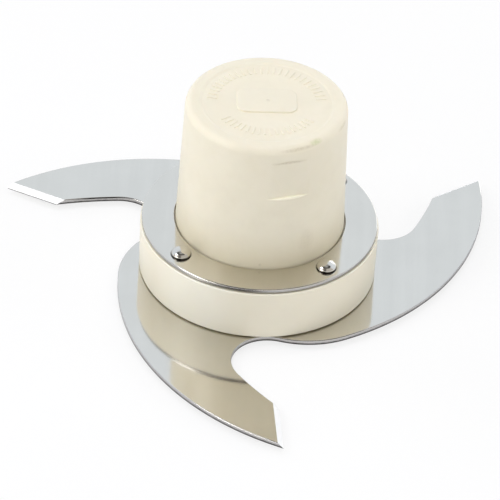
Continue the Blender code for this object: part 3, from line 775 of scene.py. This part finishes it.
def arm_outline():
    """Edge of the arm at bearing 0 and of the gullet behind it, clockwise from the arm's tip."""
    tip = Vector((tip_radius, 0.0))
    to_back = Vector((-math.sin(math.radians(tip_angle)), math.cos(math.radians(tip_angle))))
    gullet = polar(gullet_pitch_radius, -gullet_lag)
    root = gullet + polar(gullet_radius + root_radius, root_turn - gullet_lag)
    span = tip - root
    back_radius = (root_radius ** 2 - span.length_squared) / (2 * (to_back.dot(span) + root_radius))
    back = tip + to_back * back_radius
    heel = polar(heel_radius, -360 / arm_count)
    across = heel - gullet
    reach = leading_radius - gullet_radius
    along = (reach ** 2 - leading_radius ** 2 + across.length_squared) / (2 * across.length)
    ahead = across.normalized()
    leading = gullet + ahead * along + Vector((-ahead.y, ahead.x)) * math.sqrt(reach ** 2 - along ** 2)
    back_to_root = back + (root - back).normalized() * back_radius
    root_to_gullet = gullet + (root - gullet).normalized() * gullet_radius
    gullet_to_leading = gullet + (gullet - leading).normalized() * gullet_radius
    edge_tip = Vector((back.x + math.sqrt(back_radius ** 2 - (grind_width - back.y) ** 2), grind_width))
    here = turned_by(leading, 360 / arm_count)
    heel_reach = math.sqrt(leading_radius ** 2 - (grind_width - here.y) ** 2)
    edge_heel = Vector((here.x + heel_reach, grind_width))
    points = arc(back, edge_tip, back_to_root, -1)
    points += arc(root, back_to_root, root_to_gullet, -1)[1:]
    points += arc(gullet, root_to_gullet, gullet_to_leading, 1)[1:]
    points += arc(leading, gullet_to_leading, turned_by(edge_heel, -360 / arm_count), 1)[1:]
    return points


blade_steel = bright_steel("blade_steel", (0.675, 0.649, 0.585), roughness=0.058, grain=60.0,
                           scuffs=0.05)
ground_steel = bright_steel("ground_steel", (0.97, 0.97, 0.96), roughness=0.40, grain=420.0,
                            scuffs=0.10)
ground_steel.node_tree.nodes["Principled BSDF"].inputs["Metallic"].default_value = 0.15
blade_edge = punched_edge("blade_edge_steel", blade_bottom_z, blade_top_z, (0.045, 0.043, 0.04))


def dark_reflection_on_corner(finish):
    """Painted dark reflection: a dark line along the upper corner of one arm's leading edge."""
    nodes = Tree(finish.node_tree)
    shader = finish.node_tree.nodes["Principled BSDF"]
    place = nodes.add("ShaderNodeTexCoord").outputs["Object"]
    sides = nodes.add("ShaderNodeSeparateXYZ", Vector=place).outputs
    along = nodes.window(sides["X"], -0.055, -0.036, 0.006)
    beside = nodes.window(sides["Y"], 0.015, 0.034, 0.002)
    high = nodes.window(sides["Z"], blade_top_z - 0.00045, blade_top_z + 0.001, 0.00010)
    # Painted reflection: the corner is drawn nearly black.
    corner_reflection = nodes.maths("MULTIPLY", nodes.maths("MULTIPLY", along, beside), high)
    clean = shader.inputs["Base Color"].links[0].from_socket
    nodes.put(shader, "Base_Color", nodes.mix(corner_reflection, clean, (0.03, 0.028, 0.026, 1.0)))


dark_reflection_on_corner(blade_edge)

arm_bearings = [first_arm_bearing + 360 / arm_count * k for k in range(arm_count)]
one_arm = arm_outline()
blank_outline = [turned_by(point, bearing) for bearing in reversed(arm_bearings) for point in one_arm]
blank = bmesh.new()
prism(blank, [(point.x, point.y) for point in blank_outline], blade_bottom_z, blade_top_z)
bmesh.ops.recalc_face_normals(blank, faces=blank.faces)
rims = [edge for edge in blank.edges
        if edge.verts[0].co.z == edge.verts[1].co.z and edge.calc_length() < longest_rounded_step]
bmesh.ops.bevel(blank, geom=rims, offset=sheet_edge, offset_type="OFFSET", segments=3, profile=0.5,
                affect="EDGES", clamp_overlap=True)
blade = as_object("three_arm_blade", blank, blade_steel)

fall = (blade_top_z - blade_bottom_z - edge_land) / grind_width
wedge = bmesh.new()
wedge_section = [(-grind_width, blade_top_z + grind_width * fall),
                 (2 * grind_width, blade_top_z - 2 * grind_width * fall),
                 (2 * grind_width, blade_top_z + wedge_height),
                 (-grind_width, blade_top_z + wedge_height)]
ends = [[wedge.verts.new((x, y, z)) for y, z in wedge_section]
        for x in (heel_radius - wedge_margin, tip_radius + wedge_margin)]
wedge.faces.new(ends[0])
wedge.faces.new(ends[1])
for k in range(4):
    wedge.faces.new((ends[0][k], ends[0][(k + 1) % 4], ends[1][(k + 1) % 4], ends[1][k]))
one_wedge = as_object("grinding_wedges", wedge)
wedges = repeated(one_wedge, arm_count, first_arm_bearing, 360 / arm_count, ground_steel)

bore = bmesh.new()
prism(bore, ring_of((0, 0), blade_bore_radius, round_steps), blade_bottom_z - overlap,
      blade_top_z + overlap)
bore_tool = as_object("blade_bore_tool", bore)
for tool in (wedges, bore_tool, rivet_holes):
    joined(blade, tool, "DIFFERENCE")
settled(blade, sharp_angle=30)
blade.data.materials.clear()
for finish in (blade_steel, ground_steel, blade_edge):
    blade.data.materials.append(finish)
for polygon in blade.data.polygons:
    upward = polygon.normal.z
    ground = (abs(upward - 1 / math.hypot(1, fall)) < slope_tolerance
              and polygon.center.xy.length > ground_beyond_radius)
    polygon.material_index = 1 if ground else (0 if abs(upward) > edge_starts else 2)
for tool in (wedges, bore_tool, rivet_holes):
    bpy.data.objects.remove(tool, do_unlink=True)
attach(blade, "root")
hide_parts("blade")


# Rivets. Four domed stainless rivets clamp ring, flange and blade together. Their heads are
# polished like small mirrors, and their tails are upset to plain collars under the blade.
rivet_radius = 0.0015
head_radius = 0.00273
head_height = 0.00190
head_rim = 0.00025
head_seat_z = -0.03628
tail_seat_z = -0.0549
tail_radius = 0.0024
tail_height = 0.0009
head_edge = 0.0001
tail_root_edge = 0.00015
tail_edge = 0.0003
foot_shade_height = 0.00055
rivet_steps = 48
dome_steps = 16

rivet_steel = bright_steel("rivet_steel", (0.67, 0.64, 0.58), roughness=0.11, grain=200.0, scuffs=0.06)
rivet_nodes = Tree(rivet_steel.node_tree)
rivet_shader = rivet_steel.node_tree.nodes["Principled BSDF"]
rivet_place = rivet_nodes.add("ShaderNodeTexCoord").outputs["Object"]
rivet_level = rivet_nodes.add("ShaderNodeSeparateXYZ", Vector=rivet_place).outputs["Z"]
# Painted shade: the foot of each rivet head is drawn nearly black.
foot_shade = rivet_nodes.window(rivet_level, head_seat_z - 0.001, head_seat_z + foot_shade_height, 0.00030)
polished = rivet_shader.inputs["Base Color"].links[0].from_socket
rivet_nodes.put(rivet_shader, "Base_Color", rivet_nodes.mix(foot_shade, polished, (0.05, 0.045, 0.04, 1.0)))
rivet_section = []
for n in range(dome_steps + 1):
    angle = math.pi / 2 * (1 - n / dome_steps)
    rivet_section.append(Vector((head_radius * math.cos(angle) if n else 0.0,
                                 head_seat_z + head_rim + (head_height - head_rim) * math.sin(angle))))
rivet_section += rounded_section([
    (head_radius, head_seat_z, head_edge), (rivet_radius, head_seat_z, 0), (rivet_radius, tail_seat_z, 0),
    (tail_radius, tail_seat_z, tail_root_edge), (tail_radius, tail_seat_z - tail_height, tail_edge),
    (0.0, tail_seat_z - tail_height, 0)])
one_rivet = turned(rivet_section, rivet_steps)
bmesh.ops.translate(one_rivet, verts=one_rivet.verts, vec=(rivet_pitch_radius, 0, 0))
rivets = repeated(as_object("domed_rivets", one_rivet), rivet_count, first_rivet_bearing,
                  360 / rivet_count, rivet_steel, sharp_angle=40)
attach(rivets, "root")
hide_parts("rivet_1", "rivet_2", "rivet_3", "rivet_4")
